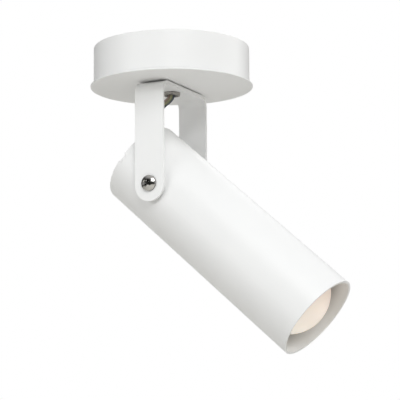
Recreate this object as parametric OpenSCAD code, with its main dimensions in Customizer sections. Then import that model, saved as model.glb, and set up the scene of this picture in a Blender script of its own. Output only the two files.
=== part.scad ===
// Ceiling spotlight. A round canopy hides a mounting bar and a terminal block, a hollow threaded
// tube through its middle carries a U-shaped strap, and a tube-shaped head with a domed lamp tilts
// between the strap's legs. The origin is the middle of the canopy on the ceiling, +Z is up, the
// head's pivots lie along Y and the lamp points to +X and down.

/* [Canopy] */
// Outer diameter of the canopy's wall
canopy_d = 96; // [86:1:130]
// Height from the ceiling to the outer side of the canopy's face
canopy_h = 24.5; // [23:0.5:40]
// Sheet thickness of the canopy's wall
canopy_t = 1.2; // [0.8:0.1:2]
// Width of the wall's flange, which lies on the face
flange_w = 5; // [3:0.5:9]
// Thickness of the canopy's face
face_t = 1.2; // [0.8:0.1:2]
// How far the face stands out past the wall
face_lip = 2; // [1:0.5:4]

/* [Mounting bar] */
// Distance between the centres of the two ceiling slots
slot_spacing = 50; // [46:1:60]
// Length of a ceiling slot, end to end
slot_l = 10; // [6:1:12]
// Width of a ceiling slot
slot_w = 4.6; // [3.6:0.1:5.6]
// Width of the bar
bar_w = 20; // [18:1:22]
// Sheet thickness of the bar
bar_t = 1.5; // [1:0.1:2]
// Length of the bar's lowered middle
bridge_l = 32; // [30:1:34]
// Material left past the end of a slot
slot_margin = 4; // [3:0.5:6]
// Length of the tab that carries the terminal block
tab_l = 20; // [19:1:24]
// Width of that tab
tab_w = 14; // [13:0.5:15]
// Distance of the earth screw from the middle of the bar
earth_x = 11; // [10.5:0.5:12]
// Diameter of the earth screws
earth_d = 4; // [3:0.5:4]
// Head diameter of the earth screws
earth_head_d = 7; // [6:0.5:8]
// Head height of the earth screws
earth_head_h = 2.4; // [1.8:0.1:3]
// Distance of a core's middle from the sheet beside an earth screw's head
earth_core_rise = 1.2; // [1.1:0.05:1.4]

/* [Terminal block] */
// Distance from pole to pole
pole_pitch = 9; // [8.5:0.5:10]
// Width of one pole's housing
pole_w = 7; // [6:0.5:7]
// Height of the block
block_h = 10; // [9:0.5:11]
// Depth of the block, along its wires
block_l = 16; // [14:1:17]
// Thickness of the web between the poles
web_t = 4; // [3:0.5:6]
// Free height between the block and the canopy's face
block_gap = 1.8; // [1:0.1:3]
// Diameter of the wire bores
wire_bore = 2.8; // [2.4:0.1:3.2]
// Diameter of the terminal screws
terminal_screw_d = 3; // [2.5:0.1:3.4]
// Length of the terminal screws
terminal_screw_l = 4.5; // [4:0.1:5]
// Diameter of the screws that hold the block
block_screw_d = 2.5; // [2:0.1:3]
// Head diameter of the screws that hold the block
block_screw_head_d = 4.6; // [4:0.1:5]
// Head height of the screws that hold the block
block_screw_head_h = 1.8; // [1.2:0.1:2]

/* [Swivel] */
// Outer diameter of the hollow threaded tube
nipple_d = 8; // [7:0.5:9]
// Bore of the hollow threaded tube
nipple_bore = 6; // [5:0.1:6.2]
// Width across flats of its nuts
nut_af = 10; // [9.5:0.5:12]
// Thickness of its nuts
nut_t = 1.8; // [1.5:0.1:2.5]
// How far the threaded tube stands out of its upper nut
nipple_proud = 1.7; // [1:0.1:2.5]
// Diameter of the washer between canopy and strap
spacer_d = 15; // [13:1:18]
// Thickness of the washer between canopy and strap
spacer_t = 0.7; // [0.5:0.1:1.5]

/* [Strap] */
// Width of the strap
strap_w = 18.8; // [15:0.2:24]
// Thickness of the strap
strap_t = 2; // [1.5:0.1:3]
// Inside radius of the strap's two bends
strap_bend_r = 5; // [3:0.5:8]
// Distance from the canopy's face down to the pivots
pivot_drop = 62.8; // [60:0.2:80]
// Distance from the pivots down to the centre of the strap's round ends
strap_tail = 1.2; // [0.6:0.2:4]

/* [Head] */
// Tilt of the head from straight down
head_tilt = 49; // [40:1:55]
// Gap between the lamp's rim and the bore of the head's tube
mouth_gap = 1; // [0.8:0.1:4]
// Wall of the head's tube
tube_t = 1.3; // [1:0.1:1.5]
// Distance from the pivots to the open mouth of the tube
mouth_reach = 122.5; // [118:0.5:150]
// Distance from the pivots to the rear end of the tube
rear_reach = 27; // [25:0.5:30]
// Gap between the tube and each leg of the strap
side_gap = 1.2; // [1:0.1:2]
// Rounding of the tube's edges
rim_r = 0.3; // [0.1:0.1:0.45]
// Width of the two notches in the rear edge
notch_w = 5.4; // [4:0.2:7]
// Depth of the two notches in the rear edge
notch_depth = 2; // [1.6:0.1:3]
// Thickness of the rear cap
cap_t = 1.2; // [0.8:0.1:1.5]

/* [Pivots] */
// Diameter of the pivot screws
pivot_d = 5; // [4:0.5:6]
// Head diameter of the pivot screws
pivot_head_d = 9.5; // [9:0.1:11]
// Head height of the pivot screws
pivot_head_h = 2.8; // [2.2:0.1:3.4]
// Size of the cross recess in the pivot screws
recess_d = 4.8; // [4:0.1:5.4]
// Outer diameter of the pivot washers
washer_d = 12; // [10:0.5:14]
// Width across flats of the pivot nuts
pivot_nut_af = 8; // [8:0.5:10]
// Thickness of the pivot nuts
pivot_nut_t = 4; // [3:0.5:5]
// How far the pivot screws stand out of their nuts
pivot_proud = 1; // [0.5:0.5:3]

/* [Lamp holder] */
// Width of the bracket that carries the lamp holder
bracket_w = 12; // [11:0.5:14]
// Sheet thickness of that bracket
bracket_t = 1.5; // [1:0.1:2]
// Inside radius of the bracket's bends
bracket_bend_r = 2; // [1:0.5:4]
// Distance from the pivots to the earth screw on the bracket
bracket_earth = 14; // [13:1:17]
// Diameter of the lamp holder
holder_d = 28; // [27:1:30]
// Width of the lamp holder across its flats
holder_flats = 23; // [22.5:0.5:25]
// Height of the lamp holder
holder_h = 23; // [22:0.5:26]
// Thickness of the holder's front, where the lamp's pins lock
holder_front_t = 3; // [2:0.2:4]
// Depth of the chamber behind the holder's front
chamber_h = 7; // [5:0.5:8]
// Distance of the holder's screws from its middle
holder_screw_y = 10.4; // [10.2:0.1:10.6]
// Diameter of the holder's screws
holder_screw_d = 3; // [2.5:0.1:3]
// Head diameter of the holder's screws
holder_screw_head_d = 5.4; // [5:0.1:5.6]
// Head height of the holder's screws
holder_screw_head_h = 2; // [1.6:0.1:2.4]
// Thickness of the holder's floor, under the heads of its screws
holder_floor_t = 6; // [4:0.5:9]
// Wall between the holder's chamber and its screw wells
chamber_wall = 0.8; // [0.6:0.1:1.2]
// Distance of the holder's wire holes from its middle
wire_hole_x = 10; // [9:0.1:10.2]
// Depth of the holder's wire holes
wire_hole_h = 3; // [2:0.5:5]

/* [Lamp] */
// Distance between the lamp's pins
pin_pitch = 10; // [9.6:0.1:10.4]
// Diameter of the neck of a pin
pin_neck_d = 3; // [2.6:0.1:3.2]
// Diameter of the foot of a pin
pin_foot_d = 4.8; // [4.4:0.1:5]
// Length of the neck of a pin
pin_neck_l = 5; // [4.6:0.1:6]
// Height of the foot of a pin
pin_foot_h = 2; // [1.5:0.1:2.2]
// Diameter of the lamp's base
base_d = 26; // [22:0.5:27]
// Height of the lamp's base
base_h = 14; // [12:0.5:16]
// Width of the chamfer round the base's end
base_edge = 1; // [0.5:0.1:1.5]
// How far the foot of the lamp's cone stands out past the base
cone_step = 1; // [0.8:0.1:2]
// Height of the lamp's cone
cone_h = 34; // [30:0.5:38]
// How far the cone's side bulges past a straight line
cone_bulge = 2.5; // [1:0.1:3]
// Diameter of the lamp's rim
lamp_d = 49; // [48.6:0.1:50]
// Height of the lamp's rim
lamp_rim_h = 4; // [3.5:0.5:6]
// Width of the step between the lamp's rim and the frosted dome
dome_step = 0.5; // [0.3:0.1:1]
// Height of the frosted dome
dome_h = 20; // [16:0.5:22]
// Wall of the frosted dome
dome_t = 1.2; // [0.8:0.1:1.5]
// Depth of the dome's collar in the lamp's rim
collar_h = 2; // [1:0.1:2.5]
// How far the dome stands out past the mouth of the tube
dome_proud = 1; // [0:0.5:4]

/* [Wiring] */
// Outer diameter of one insulated core
core_d = 1.8; // [1.4:0.1:1.9]
// Distance of each core from the middle of the lead
core_offset = 1.2; // [1.15:0.05:1.25]
// Diameter of the grommet where it sits in the rear cap
grommet_d = 8.8; // [8:0.2:10]
// Bore of the grommet
grommet_bore = 4.8; // [4.6:0.1:5.4]
// Diameter of the grommet's flanges
grommet_flange_d = 12; // [11:0.5:14]
// Thickness of the grommet's outer flange
grommet_outer_t = 1.6; // [1.2:0.1:2.4]
// Thickness of the grommet's inner flange
grommet_inner_t = 1.2; // [0.8:0.1:2]

/* [Fits] */
// Radial clearance of the swivel and the pivots
running_fit = 0.05; // [0.03:0.01:0.1]
// Radial clearance of screws and inserts in their own part
fixed_fit = 0.05; // [0.03:0.01:0.1]
// Gap between flat faces that turn on each other
face_gap = 0.1; // [0.05:0.01:0.15]

/* [Hidden] */
$fn = 96;

// Overlap of a cutting tool past the face that it cuts
cut = 1;
// Share of a screw head's height that is its straight side
head_side = 0.35;
// Share of a nut's corner that its chamfer takes off
nut_chamfer = 0.5;

// Heights on the vertical axis
wall_h = canopy_h - face_t;
bar_drop = wall_h - block_gap - block_h - bar_t;
nipple_top = -(bar_drop - nut_t - nipple_proud);
strap_top = -(canopy_h + spacer_t + face_gap);
strap_under = strap_top - strap_t;
strap_nut_top = strap_under - face_gap;
nipple_end = strap_nut_top - nut_t;
pivot_z = -(canopy_h + pivot_drop);

// Number of poles of the terminal block: live, earth and neutral
poles = 3;

// Slope of the mounting bar's two bends
slope_run = bar_drop / 2;
slope_angle = atan2(bar_drop, slope_run);
bend_shift = bar_t * tan(slope_angle / 2);
bar_half = (slot_spacing + slot_l) / 2 + slot_margin;

// Places of the terminal block's parts
block_y = bar_w / 2 + tab_l - block_l;
block_top = -(bar_drop + bar_t);
pole_z = block_top - block_h + pole_w / 2 + 1.5;
terminal_screw_y = block_l / 4;

// Half widths between the strap's legs, from the tube outwards
bore_r = lamp_d / 2 + mouth_gap;
tube_r = bore_r + tube_t;
leg_in = tube_r + side_gap;
leg_out = leg_in + strap_t;

// Stations along the head's axis, from the pivots to the mouth
dome_z = mouth_reach + dome_proud - dome_h;
cone_z = dome_z - lamp_rim_h - cone_h;
base_z = cone_z - base_h;
holder_z = base_z - holder_h;
cap_z = -rear_reach + notch_depth;
lead_end = cap_z + grommet_inner_t;
bracket_y = sqrt(bore_r * bore_r - bracket_w * bracket_w / 4) - fixed_fit;
bracket_in = bracket_y - bracket_t;
dome_foot_r = lamp_d / 2 - dome_step;
dome_r = (dome_foot_r * dome_foot_r + dome_h * dome_h) / (2 * dome_h);

// Angles of the three cores round the lead's middle
core_angles = [180, 300, 60];
LIVE = 0;
NEUTRAL = 1;
EARTH = 2;
// Route of the lead between the swivel and the rear cap, in the open
lead_points = [
    [-1.7, 0.3, -31.35], [-6.3, 1.1, -34.1], [-12.2, 2.8, -38.1], [-17.8, 4.7, -44],
    [-21.8, 5.4, -51.4], [-24.1, 4, -58.7], [-24.6, 1.6, -63.6]
];
// Routes of the cores in the canopy, as shares of the pole pitch, of the distance to the terminal
// block and of the depth of the threaded tube's upper end
live_shares = [
    [-0.21, 0.04, 0.66], [-0.43, 0.16, 0.46], [-0.76, 0.49, 0.5], [-1, 0.79, 0.85], [-1, 0.86, 1.6],
    [-1, 0.89, 2.15]
];
neutral_shares = [
    [0.13, 0.14, 0.66], [0.36, 0.24, 0.46], [0.73, 0.49, 0.5], [1, 0.79, 0.85], [1, 0.86, 1.6],
    [1, 0.89, 2.15]
];
earth_shares = [[0.1, -0.14, 0.66], [0.24, -0.29, 0.48], [0.51, -0.47, 0.51], [0.87, -0.56, 0.77]];
// Routes of the cores in the head, along its own axes
head_live_points = [[1.9, -0.9, -19.6], [4.5, -1.2, -13], [9, 1, 4], [10, 1, 18]];
head_neutral_points = [[-0.4, 2.1, -19.6], [-3, 4.2, -13], [-9, 5, 4], [-10, 3, 18]];
head_earth_points = [[-1.9, -1.5, -19.6], [-2.6, -5.5, -13.5], [-5.5, -13.5, -3], [-7.8, -20.2, 9]];
// Sides of a core, and steps between two points of its route
core_sides = 8;
core_steps = 3;

coat = [0.93, 0.93, 0.92];
steel = [0.72, 0.72, 0.74];
zinc = [0.45, 0.45, 0.44];
brass = [0.8, 0.66, 0.36];
ceramic = [0.9, 0.89, 0.86];
frost = [0.98, 0.95, 0.88];
live_colour = [0.45, 0.3, 0.24];
neutral_colour = [0.25, 0.3, 0.42];
earth_colour = [0.62, 0.6, 0.3];

// Plain shapes that several parts share

// Flat ring on the XY plane
module flat_ring(outer_d, inner_d, h) {
    rotate_extrude()
        translate([inner_d / 2, 0])
            square([(outer_d - inner_d) / 2, h]);
}

// Rectangle with four round corners, its lower left corner at the origin
module rounded_rectangle(w, h, r) {
    translate([r, 0]) square([w - 2 * r, h]);
    translate([0, r]) square([w, h - 2 * r]);
    for (x = [r, w - r], y = [r, h - r])
        translate([x, y]) circle(r);
}

// Hexagon nut with chamfered corners, on the XY plane
module hexagon_nut(af, bore, h) {
    corner_r = af / 2 / cos(30);
    chamfer = (corner_r - af / 2) * nut_chamfer;
    difference() {
        intersection() {
            cylinder(r = corner_r, h = h, $fn = 6);
            rotate_extrude()
                polygon([
                    [0, 0], [af / 2, 0], [corner_r, chamfer], [corner_r, h - chamfer],
                    [af / 2, h], [0, h]
                ]);
        }
        translate([0, 0, -cut]) cylinder(d = bore, h = h + 2 * cut);
    }
}

// Pan-head screw: the head stands on the XY plane, the shank hangs below it
module pan_screw(shank_d, head_d, head_h, shank_l, cross_d) {
    side_h = head_h * head_side;
    crown_h = head_h - side_h;
    crown_r = (head_d * head_d / 4 + crown_h * crown_h) / (2 * crown_h);
    cross_w = cross_d / 4;
    cross_h = cross_d / 2.6;
    difference() {
        rotate_extrude()
            intersection() {
                translate([0, head_h - crown_r]) circle(crown_r);
                square([head_d / 2, head_h]);
            }
        translate([0, 0, head_h - cross_h])
            intersection() {
                cylinder(d1 = cross_w, d2 = 2 * cross_d - cross_w, h = 2 * cross_h);
                for (a = [0, 90])
                    rotate([0, 0, a])
                        translate([-cross_d, -cross_w / 2, 0])
                            cube([2 * cross_d, cross_w, 2 * cross_h]);
            }
    }
    shank_r = shank_d / 2;
    tip = shank_d / 8;
    rotate_extrude()
        polygon([
            [0, -shank_l], [shank_r - tip, -shank_l], [shank_r, tip - shank_l],
            [shank_r, head_h / 8], [0, head_h / 8]
        ]);
}

// Strip bent to a U: its back lies under the XY plane, its legs hang to round ends
module bent_strap(half_w, t, bend_r, w, leg_l) {
    intersection() {
        rotate([90, 0, 90])
            linear_extrude(height = w, center = true)
                difference() {
                    round_top(half_w, bend_r + t, leg_l + w);
                    translate([0, -t]) round_top(half_w - t, bend_r, leg_l + w);
                }
        rotate([90, 0, 0])
            linear_extrude(height = 2 * half_w + cut, center = true)
                union() {
                    translate([-w / 2, -leg_l]) square([w, leg_l]);
                    translate([0, -leg_l]) circle(d = w);
                }
    }
}

// Outline with two round upper corners, hanging from the X axis
module round_top(half_w, r, h) {
    translate([-half_w, -h]) square([2 * half_w, h - r]);
    translate([r - half_w, -h]) square([2 * (half_w - r), h]);
    for (side = [-1, 1])
        translate([side * (half_w - r), -r]) circle(r);
}

// Places

// Head's own frame: +Z along its axis to the mouth, Y along the pivots
module in_head() {
    translate([0, 0, pivot_z]) rotate([0, 180 - head_tilt, 0]) children();
}

// The same frame for a point
function head_point(p) = [
    -p[0] * cos(head_tilt) + p[2] * sin(head_tilt),
    p[1],
    pivot_z - p[0] * sin(head_tilt) - p[2] * cos(head_tilt)
];

// Frame of one pivot: the origin on the pivots' middle, +Z outwards, side is -1 or 1 along Y
module at_pivot(side) {
    translate([0, 0, pivot_z]) rotate([-side * 90, 0, 0]) children();
}

// Cores of the lead

// Point between b and c of a smooth curve through a, b, c and d
function between(a, b, c, d, t) = 0.5 * (
    2 * b + (c - a) * t + (2 * a - 5 * b + 4 * c - d) * t * t + (3 * b - a - 3 * c + d) * t * t * t
);

// Smooth curve through a route's points
function curve(route) = concat(
    [for (i = [0 : len(route) - 2], s = [0 : core_steps - 1])
        between(route[max(i - 1, 0)], route[i], route[i + 1],
            route[min(i + 2, len(route) - 1)], s / core_steps)],
    [route[len(route) - 1]]
);

// Directions along a curve, which leaves and arrives as its route's end spans do
function directions(points, route) = [for (i = [0 : len(points) - 1])
    unit(i == 0 ? route[1] - route[0]
        : i == len(points) - 1 ? route[len(route) - 1] - route[len(route) - 2]
        : points[i + 1] - points[i - 1])];

function unit(v) = v / norm(v);

// Part of v square to the direction d
function square_to(v, d) = unit(v - d * (v * d));

// Normals carried along a curve without twist
function normals(dirs, first, i = 0) = i == len(dirs) ? [] :
    let (n = square_to(first, dirs[i]))
    concat([n], normals(dirs, n, i + 1));

// Round tube along a curve, at an offset and an angle from it
module core_tube(route, first_normal, offset_r, angle) {
    points = curve(route);
    dirs = directions(points, route);
    across = normals(dirs, first_normal);
    count = len(points);
    rings = [for (i = [0 : count - 1])
        let (n = across[i], b = cross(dirs[i], n), mid = points[i] + offset_r * turned(n, b, angle))
        for (s = [0 : core_sides - 1]) mid + core_d / 2 * turned(n, b, s * 360 / core_sides)];
    sides = [for (i = [0 : count - 2], s = [0 : core_sides - 1])
        let (a = i * core_sides + s, b = i * core_sides + (s + 1) % core_sides)
        each [[a, a + core_sides, b + core_sides], [a, b + core_sides, b]]];
    start = [for (s = [0 : core_sides - 1]) s];
    end = [for (s = [core_sides - 1 : -1 : 0]) (count - 1) * core_sides + s];
    polyhedron(points = rings, faces = concat(sides, [start, end]), convexity = 10);
}

// Direction at an angle in the plane of n and b
function turned(n, b, angle) = n * cos(angle) + b * sin(angle);

// Route of the whole lead, from the threaded tube's upper end through the grommet
function lead_route() = concat(
    [[0, 0, nipple_top], [0, 0, (nipple_top + nipple_end) / 2], [0, 0, nipple_end + 1]],
    lead_points,
    [for (z = [cap_z - 5 * cap_t, cap_z - cap_t, lead_end]) head_point([0, 0, z])]
);

// Place of one core where the lead starts and where it ends
function core_start(core) =
    [0, 0, nipple_top] + core_offset * turned([1, 0, 0], [0, -1, 0], core_angles[core]);
function core_finish(core) =
    let (points = curve(lead_route()), dirs = directions(points, lead_route()),
        last = len(dirs) - 1, n = normals(dirs, [1, 0, 0])[last])
    points[last] + core_offset * turned(n, cross(dirs[last], n), core_angles[core]);

module lead_core(core) {
    core_tube(lead_route(), [1, 0, 0], core_offset, core_angles[core]);
}

// Core in the canopy: it leaves the threaded tube straight up and ends at last
module canopy_core(core, shares, last) {
    start = core_start(core);
    points = [for (s = shares) [s[0] * pole_pitch, s[1] * block_y, s[2] * nipple_top]];
    core_tube(concat([start, start + [0, 0, 1]], points, last), [1, 0, 0], 0, 0);
}

// End of a core in the terminal block: from its mouth into the bore of one pole
function block_end(pole) = [
    for (y = [-0.6, 2]) [pole_x(pole), block_y + y, pole_z]
];

// Core in the head: it leaves the grommet straight along the axis and ends at last
module head_core(core, points, last) {
    start = core_finish(core);
    axis = unit(head_point([0, 0, 1]) - head_point([0, 0, 0]));
    core_tube(
        concat([start, start + 2 * axis], [for (p = concat(points, last)) head_point(p)]),
        [0, 1, 0], 0, 0
    );
}

// Canopy and what it hides

// Bar with two feet on the ceiling, a lowered middle and a tab for the terminal block
module mounting_bar() {
    foot = bridge_l / 2 + slope_run;
    color(steel)
    difference() {
        union() {
            rotate([90, 0, 0])
                linear_extrude(height = bar_w, center = true)
                    polygon([
                        [-bar_half, 0], [-foot, 0], [-bridge_l / 2, -bar_drop],
                        [bridge_l / 2, -bar_drop], [foot, 0], [bar_half, 0],
                        [bar_half, -bar_t], [foot + bend_shift, -bar_t],
                        [bridge_l / 2 + bend_shift, -bar_drop - bar_t],
                        [-bridge_l / 2 - bend_shift, -bar_drop - bar_t],
                        [-foot - bend_shift, -bar_t], [-bar_half, -bar_t]
                    ]);
            translate([-tab_w / 2, 0, block_top]) cube([tab_w, bar_w / 2 + tab_l, bar_t]);
        }
        translate([0, 0, block_top - cut])
            cylinder(d = nipple_d + 2 * fixed_fit, h = bar_t + 2 * cut);
        translate([earth_x, 0, block_top - cut])
            cylinder(d = earth_d + 2 * fixed_fit, h = bar_t + 2 * cut);
        for (side = [-1, 1]) {
            translate([side * slot_spacing / 2, 0, -bar_t - cut]) ceiling_slot(bar_t + 2 * cut);
            translate([side * pole_pitch / 2, block_y + block_l / 2, block_top - cut])
                cylinder(d = block_screw_d + 2 * fixed_fit, h = bar_t + 2 * cut);
        }
    }
}

// Round-ended slot along X
module ceiling_slot(h) {
    run = slot_l - slot_w;
    translate([-run / 2, -slot_w / 2, 0]) cube([run, slot_w, h]);
    for (side = [-1, 1])
        translate([side * run / 2, 0, 0]) cylinder(d = slot_w, h = h);
}

// Cylindrical wall with a flange turned in along the face
module canopy_wall() {
    color(coat)
    rotate_extrude() {
        translate([canopy_d / 2 - canopy_t, -wall_h]) square([canopy_t, wall_h]);
        translate([canopy_d / 2 - flange_w, -wall_h]) square([flange_w, canopy_t]);
    }
}

// Round face with a full-round edge that stands out past the wall
module canopy_face() {
    face_r = canopy_d / 2 + face_lip;
    hole_r = nipple_d / 2 + fixed_fit;
    color(coat)
    rotate_extrude() {
        translate([hole_r, -canopy_h]) square([face_r - face_t / 2 - hole_r, face_t]);
        translate([face_r - face_t / 2, face_t / 2 - canopy_h]) circle(d = face_t);
    }
}

// Hollow threaded tube with chamfered ends
module nipple() {
    wall = (nipple_d - nipple_bore) / 2;
    h = nipple_top - nipple_end;
    chamfer = wall / 4;
    color(zinc)
    translate([0, 0, nipple_end])
        rotate_extrude()
            translate([nipple_bore / 2, 0])
                polygon([
                    [0, 0], [wall - chamfer, 0], [wall, chamfer], [wall, h - chamfer],
                    [wall - chamfer, h], [0, h]
                ]);
}

// Nut on the threaded tube, its upper side at z
module nipple_nut(z) {
    color(zinc)
    translate([0, 0, z - nut_t]) hexagon_nut(nut_af, nipple_d + 2 * fixed_fit, nut_t);
}

module lock_nut_upper() { nipple_nut(nut_t - bar_drop); }
module lock_nut_lower() { nipple_nut(block_top); }
module strap_nut() { nipple_nut(strap_nut_top); }

// Washer that keeps the strap off the canopy's face
module spacer_washer() {
    color(zinc)
    translate([0, 0, -canopy_h - spacer_t])
        flat_ring(spacer_d, nipple_d + 2 * fixed_fit, spacer_t);
}

// Earth screw on the upper side of the bar
module bar_earth_screw() {
    color(brass)
    translate([earth_x, 0, -bar_drop])
        pan_screw(earth_d, earth_head_d, earth_head_h, bar_t, earth_head_d / 2);
}

// Row of housings joined by a web, with a bore for each wire and two screw holes a pole
module terminal_block() {
    half_l = block_l / 2;
    color(ceramic)
    translate([0, block_y + half_l, 0])
    difference() {
        union() {
            for (pole = [0 : poles - 1])
                translate([pole_x(pole) - pole_w / 2, -half_l, block_top - block_h])
                    cube([pole_w, block_l, block_h]);
            translate([pole_x(0), terminal_screw_y / 2 - half_l, block_top - web_t])
                cube([pole_pitch * (poles - 1), block_l - terminal_screw_y, web_t]);
        }
        for (pole = [0 : poles - 1]) {
            translate([pole_x(pole), half_l + cut, pole_z])
                rotate([90, 0, 0]) cylinder(d = wire_bore, h = block_l + 2 * cut);
            for (side = [-1, 1])
                translate([pole_x(pole), side * terminal_screw_y, block_top - block_h - cut])
                    cylinder(d = terminal_screw_d + 2 * fixed_fit, h = terminal_screw_l + cut);
        }
        for (side = [-1, 1])
            translate([side * pole_pitch / 2, 0, block_top - block_h - cut]) {
                cylinder(d = block_screw_d + 2 * fixed_fit, h = block_h + 2 * cut);
                cylinder(d = block_screw_head_d + 4 * fixed_fit, h = block_h - web_t + cut);
            }
    }
}

function pole_x(pole) = (pole - (poles - 1) / 2) * pole_pitch;

// Slotted screw in the underside of the terminal block, counted pole by pole
module terminal_screw(number) {
    pole = floor((number - 1) / 2);
    side = (number - 1) % 2 * 2 - 1;
    slot_cut = terminal_screw_d / 5;
    color(brass)
    translate([pole_x(pole), block_y + block_l / 2 + side * terminal_screw_y, block_top - block_h])
        difference() {
            cylinder(d = terminal_screw_d, h = terminal_screw_l);
            translate([-terminal_screw_d, -slot_cut / 2, -slot_cut])
                cube([2 * terminal_screw_d, slot_cut, 2 * slot_cut]);
        }
}

// Screw through the block's web into the bar's tab
module block_screw(side) {
    color(steel)
    translate([side * pole_pitch / 2, block_y + block_l / 2, block_top - web_t])
        rotate([180, 0, 0])
            pan_screw(block_screw_d, block_screw_head_d, block_screw_head_h,
                web_t + bar_t + 1, block_screw_head_d / 2);
}

module canopy_core_live() {
    color(live_colour)
    canopy_core(LIVE, live_shares, block_end(0));
}

module canopy_core_neutral() {
    color(neutral_colour)
    canopy_core(NEUTRAL, neutral_shares, block_end(poles - 1));
}

module canopy_core_earth() {
    core_z = earth_core_rise - bar_drop;
    color(earth_colour)
    canopy_core(EARTH, earth_shares, [
        [earth_x, -earth_head_d, core_z], [earth_x, -earth_head_d / 2, core_z]
    ]);
}

// Strap

module strap() {
    color(coat)
    difference() {
        translate([0, 0, strap_top])
            bent_strap(leg_out, strap_t, strap_bend_r, strap_w, strap_top - pivot_z + strap_tail);
        translate([0, 0, strap_under - cut])
            cylinder(d = nipple_d + 2 * running_fit, h = strap_t + 2 * cut);
        translate([0, 0, pivot_z])
            rotate([90, 0, 0])
                cylinder(d = pivot_d + 2 * running_fit, h = 2 * leg_out + 2 * cut, center = true);
    }
}

module lead_core_live() { color(live_colour) lead_core(LIVE); }
module lead_core_neutral() { color(neutral_colour) lead_core(NEUTRAL); }
module lead_core_earth() { color(earth_colour) lead_core(EARTH); }

// Head

// Tube with round edges, pivot holes and two notches in its rear edge
module tube() {
    color(coat)
    in_head()
        difference() {
            rotate_extrude()
                translate([bore_r, -rear_reach])
                    rounded_rectangle(tube_t, mouth_reach + rear_reach, rim_r);
            rotate([90, 0, 0])
                cylinder(d = pivot_d + 2 * fixed_fit, h = 2 * (tube_r + cut), center = true);
            for (side = [-1, 1])
                translate([-notch_w / 2, side * tube_r - tube_r / 2, -rear_reach - cut])
                    cube([notch_w, tube_r, notch_depth + cut]);
        }
}

// Disc with a tab in each notch and a hole for the grommet
module rear_cap() {
    color(coat)
    in_head()
        translate([0, 0, cap_z - cap_t])
            difference() {
                intersection() {
                    cylinder(r = tube_r - fixed_fit, h = cap_t);
                    union() {
                        cylinder(r = bore_r - fixed_fit, h = cap_t);
                        translate([fixed_fit - notch_w / 2, -tube_r, 0])
                            cube([notch_w - 2 * fixed_fit, 2 * tube_r, cap_t]);
                    }
                }
                translate([0, 0, -cut]) cylinder(d = grommet_d + 2 * fixed_fit, h = cap_t + 2 * cut);
            }
}

// Rubber bush with a flange on each side of the rear cap
module lead_grommet() {
    bore = grommet_bore / 2;
    flange = grommet_flange_d / 2 - bore;
    edge = grommet_inner_t / 3;
    color([0.2, 0.2, 0.2])
    in_head()
        rotate_extrude() {
            translate([bore, cap_z - cap_t]) square([grommet_d / 2 - bore, cap_t]);
            translate([bore, cap_z]) rounded_rectangle(flange, grommet_inner_t, edge);
            translate([bore, cap_z - cap_t - grommet_outer_t])
                rounded_rectangle(flange, grommet_outer_t, edge);
        }
}

// Screw through leg, washer, tube and bracket
module pivot_screw(side) {
    color([0.85, 0.85, 0.87])
    at_pivot(side)
        translate([0, 0, leg_out + face_gap])
            rotate([0, 0, 45])
                pan_screw(pivot_d, pivot_head_d, pivot_head_h,
                    leg_out + face_gap - bracket_in + pivot_nut_t + pivot_proud, recess_d);
}

// Washer between leg and tube
module pivot_washer(side) {
    color(zinc)
    at_pivot(side)
        translate([0, 0, tube_r + fixed_fit])
            flat_ring(washer_d, pivot_d + 2 * fixed_fit, side_gap - fixed_fit - face_gap);
}

// Nut on the inner side of the bracket
module pivot_nut(side) {
    color(steel)
    at_pivot(side)
        translate([0, 0, bracket_in - pivot_nut_t])
            hexagon_nut(pivot_nut_af, pivot_d + 2 * fixed_fit, pivot_nut_t);
}

// U-shaped bracket inside the tube, held by the pivot screws
module holder_bracket() {
    color(steel)
    in_head()
        difference() {
            translate([0, 0, holder_z])
                bent_strap(bracket_y, bracket_t, bracket_bend_r, bracket_w, holder_z);
            rotate([90, 0, 0])
                cylinder(d = pivot_d + 2 * fixed_fit, h = 2 * tube_r, center = true);
            translate([0, 0, bracket_earth])
                rotate([90, 0, 0]) cylinder(d = earth_d + 2 * fixed_fit, h = tube_r);
            for (side = [-1, 1])
                translate([0, side * holder_screw_y, holder_z - bracket_t - cut])
                    cylinder(d = holder_screw_d + 2 * fixed_fit, h = bracket_t + 2 * cut);
        }
}

// Earth screw on the bracket's right leg
module bracket_earth_screw() {
    color(brass)
    in_head()
        translate([0, -bracket_in, bracket_earth])
            rotate([-90, 0, 0])
                pan_screw(earth_d, earth_head_d, earth_head_h, bracket_t, earth_head_d / 2);
}

// Ceramic holder with two twist-lock openings and two countersunk mounting bores
module lamp_holder() {
    screw_well = holder_h - holder_floor_t;
    well_y = holder_screw_y - holder_screw_head_d / 2;
    color(ceramic)
    in_head()
        translate([0, 0, holder_z])
            difference() {
                intersection() {
                    cylinder(d = holder_d, h = holder_h);
                    translate([-holder_flats / 2, -holder_d / 2, 0])
                        cube([holder_flats, holder_d, holder_h]);
                }
                translate([0, 0, holder_h - holder_front_t - chamber_h])
                    intersection() {
                        cylinder(d = pin_pitch + 2 * pin_foot_d, h = chamber_h);
                        translate([-holder_d / 2, chamber_wall - well_y, 0])
                            cube([holder_d, 2 * (well_y - chamber_wall), chamber_h]);
                    }
                for (side = [0, 180])
                    rotate([0, 0, side]) twist_lock();
                for (side = [-1, 1])
                    translate([0, side * holder_screw_y, 0]) {
                        translate([0, 0, -cut])
                            cylinder(d = holder_screw_d + 4 * fixed_fit, h = holder_h);
                        translate([0, 0, holder_floor_t])
                            cylinder(d = holder_screw_head_d + 4 * fixed_fit, h = screw_well + cut);
                    }
                for (side = [-1, 1])
                    translate([side * wire_hole_x, 0, -cut])
                        cylinder(d = core_d + 8 * fixed_fit, h = wire_hole_h + cut);
            }
}

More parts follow.
